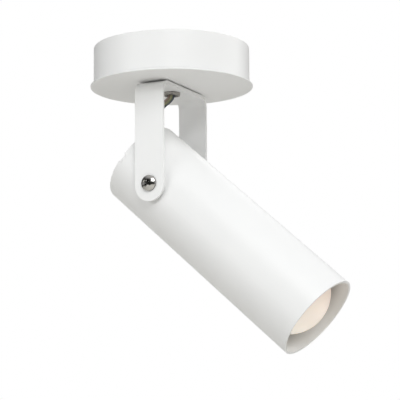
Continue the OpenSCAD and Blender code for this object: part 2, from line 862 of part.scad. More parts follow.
// Opening for one pin: a round way in, an arc, and the place where the pin locks
module twist_lock() {
    arc = 25;
    neck = pin_neck_d + 0.6;
    floor_z = holder_h - holder_front_t - cut;
    h = holder_front_t + 2 * cut;
    translate([pin_pitch / 2, 0, floor_z]) cylinder(d = neck, h = h);
    rotate([0, 0, -arc])
        translate([pin_pitch / 2, 0, floor_z]) cylinder(d = pin_foot_d + 0.6, h = h);
    rotate([0, 0, -arc])
        rotate_extrude(angle = arc)
            translate([(pin_pitch - neck) / 2, floor_z]) square([neck, h]);
}

// Screw in the well of the lamp holder
module holder_screw(side) {
    color(steel)
    in_head()
        translate([0, side * holder_screw_y, holder_z + holder_floor_t])
            pan_screw(holder_screw_d, holder_screw_head_d, holder_screw_head_h,
                holder_floor_t + bracket_t + 1, holder_screw_head_d / 2);
}

// Lamp

module lamp_base() {
    color(ceramic)
    in_head()
        translate([0, 0, base_z])
            rotate_extrude()
                polygon([
                    [0, 0], [base_d / 2 - base_edge, 0], [base_d / 2, base_edge],
                    [base_d / 2, base_h], [0, base_h]
                ]);
}

// Pin with a thicker foot, locked in the holder
module lamp_pin(side) {
    color(steel)
    in_head()
        translate([side * pin_pitch / 2, 0, base_z - pin_neck_l - pin_foot_h]) {
            cylinder(d = pin_foot_d, h = pin_foot_h);
            translate([0, 0, pin_foot_h]) cylinder(d = pin_neck_d, h = pin_neck_l);
        }
}

// Bulging cone with a straight rim, hollowed for the dome's collar
module lamp_cone() {
    steps = 12;
    low = base_d / 2 + cone_step;
    high = lamp_d / 2;
    top = cone_h + lamp_rim_h;
    collar_r = dome_foot_r - dome_t / 2;
    color(coat)
    in_head()
        translate([0, 0, cone_z])
            difference() {
                rotate_extrude()
                    polygon(concat(
                        [[0, 0]],
                        [for (i = [0 : steps])
                            [low + (high - low) * i / steps + cone_bulge * sin(180 * i / steps),
                                cone_h * i / steps]],
                        [[high, top], [0, top]]
                    ));
                translate([0, 0, top - collar_h]) cylinder(r = collar_r, h = collar_h + cut);
            }
}

// Frosted dome, with a collar that sits in the lamp's rim
module lamp_dome() {
    centre = dome_h - dome_r;
    collar_out = 2 * (dome_foot_r - fixed_fit) - dome_t;
    color(frost)
    in_head()
        translate([0, 0, dome_z]) {
            difference() {
                translate([0, 0, centre]) sphere(dome_r);
                translate([0, 0, centre]) sphere(dome_r - dome_t);
                translate([0, 0, -2 * dome_r]) cylinder(r = 2 * dome_r, h = 2 * dome_r);
            }
            translate([0, 0, -collar_h]) flat_ring(collar_out, collar_out - 2 * dome_t, collar_h + dome_t / 4);
        }
}

// End of a core in one of the lamp holder's wire holes
function holder_end(side) = [
    for (z = [-wire_hole_h, wire_hole_h * 2 / 3]) [side * wire_hole_x, 0, holder_z + z]
];

module head_core_live() {
    color(live_colour)
    head_core(LIVE, head_live_points, holder_end(1));
}

module head_core_neutral() {
    color(neutral_colour)
    head_core(NEUTRAL, head_neutral_points, holder_end(-1));
}

module head_core_earth() {
    core_y = earth_core_rise - bracket_in;
    color(earth_colour)
    head_core(EARTH, head_earth_points, [
        [-earth_head_d * 0.9, core_y, bracket_earth], [-earth_head_d / 2, core_y, bracket_earth]
    ]);
}

mounting_bar();
canopy_wall();
canopy_face();
nipple();
lock_nut_upper();
lock_nut_lower();
spacer_washer();
strap_nut();
bar_earth_screw();
terminal_block();
terminal_screw(1);  // terminal_screw_1
terminal_screw(2);  // terminal_screw_2
terminal_screw(3);  // terminal_screw_3
terminal_screw(4);  // terminal_screw_4
terminal_screw(5);  // terminal_screw_5
terminal_screw(6);  // terminal_screw_6
block_screw(-1);  // block_screw_1
block_screw(1);  // block_screw_2
canopy_core_live();
canopy_core_neutral();
canopy_core_earth();
strap();
lead_core_live();
lead_core_neutral();
lead_core_earth();
tube();
rear_cap();
lead_grommet();
pivot_screw(-1);  // pivot_screw_right
pivot_screw(1);  // pivot_screw_left
pivot_washer(-1);  // pivot_washer_right
pivot_washer(1);  // pivot_washer_left
pivot_nut(-1);  // pivot_nut_right
pivot_nut(1);  // pivot_nut_left
holder_bracket();
bracket_earth_screw();
lamp_holder();
holder_screw(-1);  // holder_screw_right
holder_screw(1);  // holder_screw_left
lamp_base();
lamp_pin(-1);  // lamp_pin_1
lamp_pin(1);  // lamp_pin_2
lamp_cone();
lamp_dome();
head_core_live();
head_core_neutral();
head_core_earth();
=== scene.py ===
"""Ceiling spotlight: smooth pieces, finishes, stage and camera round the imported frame."""

import math

import bmesh
import bpy
from mathutils import Matrix, Vector


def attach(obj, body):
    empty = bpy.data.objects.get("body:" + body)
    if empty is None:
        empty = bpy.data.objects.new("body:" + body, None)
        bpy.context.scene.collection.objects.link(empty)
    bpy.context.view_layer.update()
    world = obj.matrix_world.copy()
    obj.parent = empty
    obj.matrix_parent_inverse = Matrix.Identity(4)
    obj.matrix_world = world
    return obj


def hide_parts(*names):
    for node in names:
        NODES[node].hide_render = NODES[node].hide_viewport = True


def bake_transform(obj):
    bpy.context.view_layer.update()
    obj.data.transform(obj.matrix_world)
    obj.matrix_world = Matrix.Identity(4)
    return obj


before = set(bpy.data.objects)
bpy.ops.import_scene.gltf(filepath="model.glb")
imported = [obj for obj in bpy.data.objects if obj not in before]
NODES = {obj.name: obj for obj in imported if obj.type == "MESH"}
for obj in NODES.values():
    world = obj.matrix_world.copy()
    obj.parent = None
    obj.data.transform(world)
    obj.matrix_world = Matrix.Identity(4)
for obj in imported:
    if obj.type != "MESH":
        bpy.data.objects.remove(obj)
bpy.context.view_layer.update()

bl_info = {
    "name": "Ceiling spotlight",
    "version": (1, 0, 0),
    "blender": (4, 5, 0),
    "location": "3D View > Sidebar > Spotlight",
    "description": "Builds a white ceiling spotlight with a tilting tube head",
    "category": "Add Mesh",
}

MM = 0.001
FULL_TURN = 2 * math.pi
RIGHT, LEFT = -1, 1
SMALL = 1e-6
CREASE = math.radians(40)
SQUARE = math.radians(60)
FACE_WEIGHT = 80
ROUTE_MAP = "route"

# Roundings of the small pieces, in metres
WASHER_ROUND = 0.0002
SCREW_ROUND = 0.0001
PIN_ROUND = 0.0002
PRESSED_ROUND = 0.0003
CERAMIC_ROUND = 0.0004
LAMP_ROUND = 0.0004
HEAD_FOOT_ROUND = 0.00015
HEAD_EDGE_ROUND = 0.0003
GROMMET_ROUND = 0.0003
GROMMET_FRONT_ROUND = 0.0006
GROMMET_BORE_ROUND = 0.0004

# Sizes that the source gives, in millimetres
FIT = 0.05
PLAY = 0.1
CANOPY_H = 24.5
CANOPY_R = 48.0
FACE_R = 50.0
FACE_T = 1.2
SHEET_T = 1.2
FLANGE_W = 5.0
NIPPLE_R = 4.0
NIPPLE_BORE_R = 3.0
NIPPLE_TOP = -6.5
NIPPLE_END = -29.2
THREAD_PITCH = 1.0
THREAD_DEPTH = 0.45
SPACER_R = 7.5
SPACER_T = 0.7
STRAP_TOP = -25.3
STRAP_T = 2.0
STRAP_W = 18.8
STRAP_BEND_R = 7.0
STRAP_TAIL = 1.2
LEG_OUT = 30.0
PIVOT_Z = -87.3
TUBE_R = 26.8
TUBE_T = 1.3
BORE_R = TUBE_R - TUBE_T
MOUTH_Z = 122.5
REAR_Z = -27.0
NOTCH_W = 5.4
NOTCH_DEPTH = 2.0
CAP_Z = REAR_Z + NOTCH_DEPTH
CAP_T = 1.2
LEAD_IN_Z = CAP_Z - 5 * CAP_T
GROMMET_IN_T = 1.2
GROMMET_OUT_T = 1.6
PIVOT_HOLE_R = 2.55
PIVOT_HEAD_R = 4.75
PIVOT_HEAD_H = 2.8
PIVOT_SHANK = [(0, -11.7), (2.0, -11.7), (2.5, -11.1), (2.5, 0)]
CROWN_SHARE = 0.65
CROWN_H = PIVOT_HEAD_H * CROWN_SHARE
CROWN_R = (PIVOT_HEAD_R ** 2 + CROWN_H ** 2) / (2 * CROWN_H)
WASHER_R = 6.0
LAMP_R = 24.5
LAMP_RIM_H = 4.0
CONE_H = 34.0
CONE_LOW_R = 14.0
CONE_BULGE = 2.5
DOME_R = 24.0
DOME_H = 20.0
DOME_T = 1.2
DOME_Z = MOUTH_Z + 1 - DOME_H
COLLAR_H = 2.0
CORE_R = 0.9
CORE_OFFSET = 1.2
LEAD_POINTS = [
    (-1.7, 0.3, -31.35), (-6.3, 1.1, -34.1), (-12.2, 2.8, -38.1), (-17.8, 4.7, -44),
    (-21.8, 5.4, -51.4), (-24.1, 4, -58.7), (-24.6, 1.6, -63.6),
]

# Angles that the source gives: the head's tilt, and the cores round the lead's middle in degrees
TILT = math.radians(49)
CORE_ANGLES = {"live": 180, "neutral": 300, "earth": 60}


def in_head(point):
    """A point given in the head's own axes, in millimetres of the row frame."""
    x, y, z = point
    return (
        z * math.sin(TILT) - x * math.cos(TILT),
        y,
        PIVOT_Z - z * math.cos(TILT) - x * math.sin(TILT),
    )


HEAD = Matrix.Translation((0, 0, PIVOT_Z * MM)) @ Matrix.Rotation(math.pi - TILT, 4, "Y")

# Sizes and colours that a user would change

def length(name, description, default, low, high):
    return bpy.props.FloatProperty(
        name=name, description=description, default=default, min=low, max=high,
        unit="LENGTH", subtype="DISTANCE", precision=5,
    )


def colour(name, description, default):
    return bpy.props.FloatVectorProperty(
        name=name, description=description, default=default, size=3, min=0, max=1, subtype="COLOR"
    )


def factor(name, description, default):
    return bpy.props.FloatProperty(
        name=name, description=description, default=default, min=0, max=1, subtype="FACTOR"
    )


class SpotlightSizes(bpy.types.PropertyGroup):
    """Roundings and fine sizes of the pieces."""

    sheet_round: length("Sheet edge", "Rounding of the canopy's edges", 0.0003, 0.0001, 0.0005)
    strap_round: length("Strap edge", "Rounding of the strap's edges", 0.00035, 0.0001, 0.0009)
    tube_round: length("Tube rim", "Rounding of the tube's rims", 0.0004, 0.0001, 0.0006)
    fitting_round: length("Fittings", "Rounding of nuts, bar and block", 0.00018, 0.00005, 0.0004)
    recess_depth: length("Recess depth", "Depth of the cross recess", 0.0017, 0.0008, 0.002)
    recess_width: length("Recess width", "Width of the recess's arms", 0.0014, 0.0008, 0.0016)
    recess_reach: length("Recess reach", "Half length of the recess's arms", 0.0026, 0.0018, 0.003)
    peel_size: length("Peel size", "Size of the coat's fine dimples", 0.0011, 0.0004, 0.003)


class SpotlightColours(bpy.types.PropertyGroup):
    """Colours and gloss of the finishes."""

    coat: colour("Coat", "White powder coat", (0.88, 0.88, 0.875))
    # The bore's two colours paint shade into the tube: a little darker than the coat at the mouth,
    # very dark deep inside where less light reaches. The deep colour is painted shade, not a
    # thinner coat.
    inner_coat: colour("Inner coat", "Coat inside the tube at its mouth", (0.82, 0.83, 0.825))
    bore_shade: colour("Deep coat", "Thin coat deep inside the tube", (0.2, 0.2, 0.195))
    coat_gloss: factor("Coat roughness", "Roughness of the powder coat", 0.42)
    frost: colour("Dome", "Frosted dome at its upper side", (0.88, 0.735, 0.645))
    frost_low: colour("Dome, low", "Frosted dome at its lower side", (1.0, 0.93, 0.84))
    # The dome's glow is painted light: it makes the dome brighter than the studio's lamps do
    dome_painted_glow: factor("Dome glow", "Light that comes through the frosted dome", 0.24)
    shell: colour("Lamp shell", "Moulded body of the lamp", (0.84, 0.83, 0.8))
    ceramic: colour("Ceramic", "Lamp holder and terminal block", (0.8, 0.78, 0.73))
    steel: colour("Steel", "Zinc-plated steel", (0.62, 0.62, 0.64))
    dark_zinc: colour("Dark plate", "Dull plated nuts and threaded tube", (0.36, 0.345, 0.32))
    chrome: colour("Bright plate", "Pivot screws", (0.58, 0.565, 0.54))
    brass: colour("Brass", "Earth and terminal screws", (0.71, 0.52, 0.24))
    rubber: colour("Rubber", "Grommet", (0.03, 0.03, 0.03))
    live: colour("Live core", "Brown insulation", (0.33, 0.24, 0.2))
    neutral: colour("Neutral core", "Blue insulation", (0.07, 0.08, 0.11))
    earth: colour("Earth core", "Green of the earth core", (0.135, 0.155, 0.09))
    earth_stripe: colour("Earth stripe", "Yellow of the earth core", (0.28, 0.265, 0.155))


# Shader maths as expressions

class Value:
    """A shader socket that takes part in sums and products."""

    def __init__(self, graph, socket):
        self.graph = graph
        self.socket = socket

    def math(self, operation, *others):
        inputs = dict(enumerate((self, *others)))
        return self.graph.add("ShaderNodeMath", {"operation": operation}, inputs)

    def __add__(self, other):
        return self.math("ADD", other)

    __radd__ = __add__

    def __mul__(self, other):
        return self.math("MULTIPLY", other)

    __rmul__ = __mul__

    def __sub__(self, other):
        return self.math("SUBTRACT", other)

    def __rsub__(self, other):
        return self.graph.add("ShaderNodeMath", {"operation": "SUBTRACT"}, {0: other, 1: self})

    def between(self, low, high):
        """0 below low, 1 above high, smooth between them."""
        return self.graph.add(
            "ShaderNodeMapRange", {"interpolation_type": "SMOOTHSTEP"},
            {"Value": self, "From Min": low, "From Max": high},
        )


class Graph:
    """The node tree of one material or of the world."""

    def __init__(self, tree):
        self.tree = tree
        tree.nodes.clear()

    def add(self, kind, settings=None, inputs=None, output=0):
        """Adds a node with its settings and the values or links of its sockets."""
        node = self.tree.nodes.new(kind)
        for key, value in (settings or {}).items():
            setattr(node, key, value)
        for key, value in (inputs or {}).items():
            socket = node.inputs[key]
            if isinstance(value, Value):
                self.tree.links.new(value.socket, socket)
            else:
                socket.default_value = value
        return Value(self, node.outputs[output]) if node.outputs else node

    def where(self):
        return self.add("ShaderNodeTexCoord", output="Object")

    def turned(self, place, size=(1, 1, 1), angle=(0, 0, 0), centre=(0, 0, 0)):
        return self.add(
            "ShaderNodeMapping", {"vector_type": "POINT"},
            {"Vector": place, "Scale": size, "Rotation": angle, "Location": centre},
        )

    def noise(self, place, size, detail=2.0, roughness=0.5):
        """Noise whose features are about that many metres across."""
        return self.add(
            "ShaderNodeTexNoise", {"noise_dimensions": "3D"},
            {"Vector": place, "Scale": 1 / size, "Detail": detail, "Roughness": roughness},
        )

    def blend(self, share, low, high):
        """Colour between low and high."""
        low, high = (c if isinstance(c, Value) else opaque(c) for c in (low, high))
        return self.add(
            "ShaderNodeMix", {"data_type": "RGBA"}, {"Factor": share, 6: low, 7: high}, output=2
        )

    def bump(self, height, depth, strength=1.0):
        return self.add(
            "ShaderNodeBump", None, {"Height": height, "Distance": depth, "Strength": strength}
        )

    def surface(self, **inputs):
        sockets = {key.replace("_", " "): value for key, value in inputs.items()}
        shader = self.add("ShaderNodeBsdfPrincipled", None, sockets)
        self.add("ShaderNodeOutputMaterial", None, {"Surface": shader})


def opaque(rgb):
    return (*tuple(rgb)[:3], 1.0)


def shade(rgb, share):
    """That colour, lighter or darker by a share."""
    return tuple(min(1.0, c * share) for c in rgb)


# Finishes

FINISHES = {}


def finish(name):
    """The named finish, made once."""
    if name not in FINISHES:
        maker, view_colour = MAKERS[name]
        colours = bpy.context.scene.spotlight_colours
        material = bpy.data.materials.new(name)
        material.use_nodes = True
        maker(Graph(material.node_tree), colours)
        material.diffuse_color = opaque(getattr(colours, view_colour))
        FINISHES[name] = material
    return FINISHES[name]


def in_head_axes(graph):
    """Object coordinates turned into the head's own axes."""
    angle = TILT - math.pi
    centre = Matrix.Rotation(angle, 3, "Y") @ Vector((0, 0, -PIVOT_Z * MM))
    return graph.turned(graph.where(), angle=(0, angle, 0), centre=tuple(centre))


def part_of(graph, place, axis):
    """One of the coordinates of a place."""
    return graph.add("ShaderNodeSeparateXYZ", None, {"Vector": place}, output=axis)


def coat_finish(graph, colours, inside=None):
    """Satin powder coat: fine dimples, a faint cloudiness, a little uneven gloss, and painted shade
    from the maker given as inside.
    """
    place = graph.where()
    size = bpy.context.scene.spotlight_sizes.peel_size
    cloud = graph.noise(place, 0.03, 3)
    peel = graph.noise(place, size, 1)
    grit = graph.noise(place, size / 4, 1)
    tint = graph.blend(cloud, shade(colours.coat, 0.985), shade(colours.coat, 1.015))
    # Where given, the inside maker paints shade onto the coat's colour
    if inside:
        tint = inside(graph, colours, tint)
    graph.surface(
        Base_Color=tint,
        Roughness=colours.coat_gloss - 0.05 + 0.1 * peel,
        Specular_IOR_Level=0.45,
        Normal=graph.bump(peel * 0.8 + grit * 0.2, 0.000012, 0.5),
    )


def bore_painted_shade(graph, colours, tint):
    """The coat's colour, with painted shade on the bore: darker the deeper it lies from the mouth.
    """
    place = in_head_axes(graph)
    flat = graph.add("ShaderNodeVectorMath", {"operation": "MULTIPLY"}, {0: place, 1: (1, 1, 0)})
    radius = graph.add("ShaderNodeVectorMath", {"operation": "LENGTH"}, {0: flat}, output="Value")
    near_mouth = part_of(graph, place, "Z").between((DOME_Z + 1) * MM, (MOUTH_Z - 2) * MM)
    bore = graph.blend(near_mouth, colours.bore_shade, colours.inner_coat)
    outside = radius.between((BORE_R + 0.1) * MM, (BORE_R + 0.5) * MM)
    return graph.blend(outside, bore, tint)


# The tube's coat, with painted shade in its bore
def tube_coat_finish(graph, colours):
    coat_finish(graph, colours, bore_painted_shade)


def metal(graph, base, roughness, grain, streak=(1, 1, 1), depth=0.000004, recess_shade=None):
    """Plated metal: fine grain, drawn out along one direction where streak says so."""
    place = graph.turned(graph.where(), streak)
    fine = graph.noise(place, grain, 3, 0.6)
    stain = graph.noise(graph.where(), 0.006, 3)
    tint = graph.blend(stain.between(0.35, 0.65), shade(base, 0.9), shade(base, 1.06))
    gloss = roughness + 0.14 * (fine - 0.5) + 0.08 * (stain - 0.5)
    # Painted shade where the mask says so: darker and rougher there
    if recess_shade:
        tint = graph.blend(recess_shade, tint, shade(base, 0.16))
        gloss = gloss + 0.35 * recess_shade
    graph.surface(
        Base_Color=tint,
        Metallic=1.0,
        Roughness=gloss,
        Normal=graph.bump(fine, depth, 0.6),
    )


def steel_finish(graph, colours):
    metal(graph, colours.steel, 0.34, 0.0012, (1, 8, 1))


def dark_zinc_finish(graph, colours):
    metal(graph, colours.dark_zinc, 0.42, 0.0006)


# Depths below the crown, in metres, over which the painted shade of the recess fades in
RECESS_SHADE_DEPTHS = (0.0003, 0.0007)


def chrome_finish(graph, colours):
    """Bright plate of the pivot screws, with painted shade in their cross recess, which is also
    rougher.
    """
    x, y, z = (part_of(graph, graph.where(), axis) for axis in "XYZ")
    from_axis = x * x + (z - PIVOT_Z * MM) * (z - PIVOT_Z * MM)
    # A parabola stands for the crown's round outline
    fall = from_axis * (0.5 / (CROWN_R * MM))
    below_crown = (LEG_OUT + PLAY + PIVOT_HEAD_H) * MM - fall - y.math("ABSOLUTE")
    recess_shade = below_crown.between(*RECESS_SHADE_DEPTHS)
    metal(graph, colours.chrome, 0.15, 0.0008, depth=0.000003, recess_shade=recess_shade)


def brass_finish(graph, colours):
    metal(graph, colours.brass, 0.3, 0.0007)


def ceramic_finish(graph, colours):
    """Fired ceramic or pressed moulding: speckled, with a dull sheen."""
    place = graph.where()
    speckle = graph.noise(place, 0.0006, 2)
    cloud = graph.noise(place, 0.008, 2)
    tint = graph.blend(
        0.7 * cloud + 0.3 * speckle, shade(colours.ceramic, 0.94), shade(colours.ceramic, 1.05)
    )
    graph.surface(
        Base_Color=tint,
        Roughness=0.36 + 0.12 * speckle,
        Normal=graph.bump(speckle, 0.00001, 0.4),
    )


def shell_finish(graph, colours):
    """Matte moulded shell with a fine spark-eroded grain."""
    place = graph.where()
    grain = graph.noise(place, 0.0004, 2)
    cloud = graph.noise(place, 0.01, 2)
    tint = graph.blend(cloud, shade(colours.shell, 0.98), shade(colours.shell, 1.02))
    graph.surface(
        Base_Color=tint,
        Roughness=0.5 + 0.15 * grain,
        Normal=graph.bump(grain, 0.00001, 0.5),
    )


def frost_finish(graph, colours):
    """Frosted diffuser: paler towards the tube's lower side, which more light reaches."""
    low = part_of(graph, in_head_axes(graph), "X").between(-DOME_R * MM, DOME_R * MM)
    frosting = graph.noise(graph.where(), 0.0003, 2)
    cloud = graph.noise(graph.where(), 0.012, 2)
    tint = graph.blend(0.85 * low + 0.15 * cloud, colours.frost, colours.frost_low)
    graph.surface(
        Base_Color=tint,
        Roughness=0.38 + 0.12 * frosting,
        Subsurface_Weight=0.25,
        Subsurface_Radius=(1.0, 0.8, 0.6),
        Subsurface_Scale=0.003,
        Sheen_Weight=1.0,
        Sheen_Roughness=0.2,
        Sheen_Tint=opaque(colours.frost_low),
        # Painted light: an even glow in the dome's own colour makes it brighter than the lamps
        # light it
        Emission_Color=tint,
        Emission_Strength=colours.dome_painted_glow,
        Normal=graph.bump(frosting, 0.000006, 0.4),
    )


def rubber_finish(graph, colours):
    place = graph.where()
    grain = graph.noise(place, 0.0005, 3)
    dust = graph.noise(place, 0.004, 3).between(0.45, 0.75)
    graph.surface(
        Base_Color=graph.blend(dust * 0.6, colours.rubber, shade(colours.rubber, 2.2)),
        Roughness=0.62 + 0.2 * grain,
        Normal=graph.bump(grain, 0.00002, 0.5),
    )


def insulation(graph, base, stripe=None):
    """Core insulation: drawn along its length, with a second colour in stripes if there is one."""
    around = graph.add("ShaderNodeUVMap", {"uv_map": ROUTE_MAP})
    scuff = graph.noise(graph.where(), 0.0025, 3)
    tint = graph.blend(scuff, shade(base, 0.85), shade(base, 1.15))
    if stripe:
        band = part_of(graph, around, "Y").math("PINGPONG", 0.25).between(0.12, 0.135)
        tint = graph.blend(band, tint, stripe)
    drawn = graph.noise(graph.turned(around, (1, 40, 1)), 0.02, 2)
    graph.surface(
        Base_Color=tint,
        Roughness=0.42 + 0.12 * scuff,
        Normal=graph.bump(drawn, 0.00001, 0.3),
    )


def live_finish(graph, colours):
    insulation(graph, colours.live)


def neutral_finish(graph, colours):
    insulation(graph, colours.neutral)


def earth_finish(graph, colours):
    insulation(graph, colours.earth, colours.earth_stripe)


# Each finish's maker and its colour in the solid view
MAKERS = {
    "white_coat": (coat_finish, "coat"),
    "tube_coat": (tube_coat_finish, "coat"),
    "steel": (steel_finish, "steel"),
    "dark_zinc": (dark_zinc_finish, "dark_zinc"),
    "chrome": (chrome_finish, "chrome"),
    "brass": (brass_finish, "brass"),
    "ceramic": (ceramic_finish, "ceramic"),
    "lamp_shell": (shell_finish, "shell"),
    "frosted_cover": (frost_finish, "frost"),
    "black_rubber": (rubber_finish, "rubber"),
    "core_live": (live_finish, "live"),
    "core_neutral": (neutral_finish, "neutral"),
    "core_earth": (earth_finish, "earth"),
}


# Shared shapes

def near(a, b):
    return abs(a - b) < SMALL


def unique(items):
    """The items without repeats, in the order they come in."""
    return list(dict.fromkeys(items))


def sharp_edges(mesh, angle):
    return [e for e in mesh.edges if len(e.link_faces) == 2 and e.calc_face_angle(0) > angle]


def bevel(mesh, edges, width, segments=3):
    return bmesh.ops.bevel(
        mesh, geom=edges, offset=width, offset_type="OFFSET", segments=segments, profile=0.5,
        affect="EDGES", material=-1, clamp_overlap=True, loop_slide=True,
    )


def close_up(mesh):
    """Merges what coincides and turns the faces outwards."""
    bmesh.ops.remove_doubles(mesh, verts=mesh.verts, dist=SMALL / 5)
    bmesh.ops.recalc_face_normals(mesh, faces=mesh.faces)


def lathe(profile, steps=128, closed=True):
    """Turned shape on the Z axis from (radius, height) pairs in millimetres."""
    mesh = bmesh.new()
    corners = [mesh.verts.new((r * MM, 0, z * MM)) for r, z in profile]
    pairs = list(zip(corners, corners[1:])) + ([(corners[-1], corners[0])] if closed else [])
    edges = [mesh.edges.new(pair) for pair in pairs]
    bmesh.ops.spin(
        mesh, geom=corners + edges, cent=(0, 0, 0), axis=(0, 0, 1), dvec=(0, 0, 0),
        angle=FULL_TURN, steps=steps, use_merge=True,
    )
    close_up(mesh)
    return mesh


def round_ring(mesh, r, z, width, segments=3):
    """Rounds the ring of edges at that radius and height."""
    ring = [
        e for e in mesh.edges
        if all(near(v.co.z, z * MM) and near(v.co.xy.length, r * MM) for v in e.verts)
    ]
    if not ring:
        raise ValueError(f"no ring at radius {r} and height {z}")
    bevel(mesh, ring, width, segments)


def sheet_plate(width, low, high, columns, rows):
    """Flat plate on the XY plane, X across and Y from low to high, in millimetres."""
    mesh = bmesh.new()
    bmesh.ops.create_grid(mesh, x_segments=columns, y_segments=rows, size=0.5)
    bmesh.ops.scale(mesh, vec=(width * MM, (high - low) * MM, 1), verts=mesh.verts)
    bmesh.ops.translate(mesh, vec=(0, (low + high) / 2 * MM, 0), verts=mesh.verts)
    return mesh


def punch(mesh, x, y, radius, clear):
    """Round hole in a flat plate, with a ring of faces out to about clear, in millimetres."""
    centre = Vector((x * MM, y * MM, 0))
    hit = [f for f in mesh.faces if (f.calc_center_median() - centre).length < clear * MM]
    edge = unique(e for f in hit for e in f.edges)
    bmesh.ops.delete(mesh, geom=hit, context="FACES")
    edge = [e for e in edge if e.is_valid and e.is_boundary]
    ring = bmesh.ops.create_circle(
        mesh, segments=len(edge), radius=radius * MM, matrix=Matrix.Translation(centre)
    )["verts"]
    inner = unique(e for v in ring for e in v.link_edges)
    bmesh.ops.bridge_loops(mesh, edges=edge + inner)


def cut_out(mesh, inside):
    """Deletes the faces whose middle the test takes."""
    hit = [f for f in mesh.faces if inside(f.calc_center_median())]
    bmesh.ops.delete(mesh, geom=hit, context="FACES")


def slice_plate(mesh, co, no):
    bmesh.ops.bisect_plane(
        mesh, geom=mesh.verts[:] + mesh.edges[:] + mesh.faces[:], plane_co=co, plane_no=no,
        dist=SMALL,
    )


def thicken(mesh, thickness):
    """Gives a flat plate its thickness below the XY plane."""
    copy = bmesh.ops.extrude_face_region(mesh, geom=mesh.faces[:], use_keep_orig=True)["geom"]
    below = [v for v in copy if isinstance(v, bmesh.types.BMVert)]
    bmesh.ops.translate(mesh, vec=(0, 0, -thickness * MM), verts=below)
    bmesh.ops.recalc_face_normals(mesh, faces=mesh.faces)


def even_shading(thing, keep_sharp):
    even = thing.modifiers.new("even shading", "WEIGHTED_NORMAL")
    even.keep_sharp = keep_sharp
    even.weight = FACE_WEIGHT


def piece(node, mesh, finish_name, body, place=None):
    """Makes the object of a finished mesh, which rides on a body and stands for a node."""
    if place:
        mesh.transform(place)
    name = node + "_piece"
    data = bpy.data.meshes.new(name)
    mesh.to_mesh(data)
    mesh.free()
    data.shade_smooth()
    data.set_sharp_from_angle(angle=CREASE)
    data.materials.append(finish(finish_name))
    thing = bpy.data.objects.new(name, data)
    bpy.context.scene.collection.objects.link(thing)
    if body:
        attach(thing, body)
    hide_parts(node)
    return thing


def softened(node, finish_name, body, width=None, segments=2):
    """The node's own shape with rounded edges."""
    mesh = bmesh.new()
    mesh.from_mesh(NODES[node].data)
    bmesh.ops.remove_doubles(mesh, verts=mesh.verts, dist=SMALL)
    bmesh.ops.dissolve_limit(
        mesh, angle_limit=math.radians(1), verts=mesh.verts, edges=mesh.edges,
        use_dissolve_boundaries=False,
    )
    thing = piece(node, mesh, finish_name, body)
    edges = thing.modifiers.new("rounded edges", "BEVEL")
    edges.width = width or bpy.context.scene.spotlight_sizes.fitting_round
    edges.segments = segments
    edges.limit_method = "ANGLE"
    edges.angle_limit = CREASE
    edges.profile = 0.5
    edges.use_clamp_overlap = True
    even_shading(thing, False)


def smooth_piece(*args):
    """A piece that a builder shaped, with its large faces leading the shading."""
    thing = piece(*args)
    even_shading(thing, True)
    return thing


# Routes of the cores, in millimetres: in the canopy as shares of the pole pitch, the block's
# place and the threaded tube's top, then as places; in the head in its own axes

POLE_PITCH = 9.0
BLOCK_Y = 14.0
POLE_Z = -16.5
EARTH_X = 11.0
EARTH_R = 3.5
EARTH_CORE_Z = -8.8
HOLDER_Z = 28.5
WIRE_HOLE_X = 10.0
WIRE_HOLE_H = 3.0
BRACKET_HALF_W = 6
BRACKET_T = 1.5
BRACKET_IN = math.sqrt(BORE_R ** 2 - BRACKET_HALF_W ** 2) - FIT - BRACKET_T
BRACKET_EARTH = 14.0
CANOPY_ROUTES = {
    "live": (
        [(-0.21, 0.04, 0.66), (-0.43, 0.16, 0.46), (-0.76, 0.49, 0.5), (-1, 0.79, 0.85),
         (-1, 0.86, 1.6), (-1, 0.89, 2.15)],
        [(-POLE_PITCH, BLOCK_Y - 0.6, POLE_Z), (-POLE_PITCH, BLOCK_Y + 2, POLE_Z)],
    ),
    "neutral": (
        [(0.13, 0.14, 0.66), (0.36, 0.24, 0.46), (0.73, 0.49, 0.5), (1, 0.79, 0.85), (1, 0.86, 1.6),
         (1, 0.89, 2.15)],
        [(POLE_PITCH, BLOCK_Y - 0.6, POLE_Z), (POLE_PITCH, BLOCK_Y + 2, POLE_Z)],
    ),
    "earth": (
        [(0.1, -0.14, 0.66), (0.24, -0.29, 0.48), (0.51, -0.47, 0.51), (0.87, -0.56, 0.77)],
        [(EARTH_X, -2 * EARTH_R, EARTH_CORE_Z), (EARTH_X, -EARTH_R, EARTH_CORE_Z)],
    ),
}
HEAD_ROUTES = {
    "live": [
        (1.9, -0.9, -19.6), (4.5, -1.2, -13), (9, 1, 4), (10, 1, 18),
        (WIRE_HOLE_X, 0, HOLDER_Z - WIRE_HOLE_H), (WIRE_HOLE_X, 0, HOLDER_Z + 2),
    ],
    "neutral": [
        (-0.4, 2.1, -19.6), (-3, 4.2, -13), (-9, 5, 4), (-10, 3, 18),
        (-WIRE_HOLE_X, 0, HOLDER_Z - WIRE_HOLE_H), (-WIRE_HOLE_X, 0, HOLDER_Z + 2),
    ],
    "earth": [
        (-1.9, -1.5, -19.6), (-2.6, -5.5, -13.5), (-5.5, -13.5, -3), (-7.8, -20.2, 9),
        (-6.3, 1.2 - BRACKET_IN, BRACKET_EARTH), (-EARTH_R, 1.2 - BRACKET_IN, BRACKET_EARTH),
    ],
}


def smooth_route(points, steps):
    """Points along a smooth curve through a route's points."""
    points = [Vector(p) for p in points]
    last = len(points) - 1
    route = []
    for i in range(last):
        a, b, c, d = (points[min(max(k, 0), last)] for k in (i - 1, i, i + 1, i + 2))
        for s in range(steps):
            t = s / steps
            route.append(0.5 * (
                2 * b + (c - a) * t + (2 * a - 5 * b + 4 * c - d) * t * t
                + (3 * b - a - 3 * c + d) * t ** 3
            ))
    return route + [points[last]]


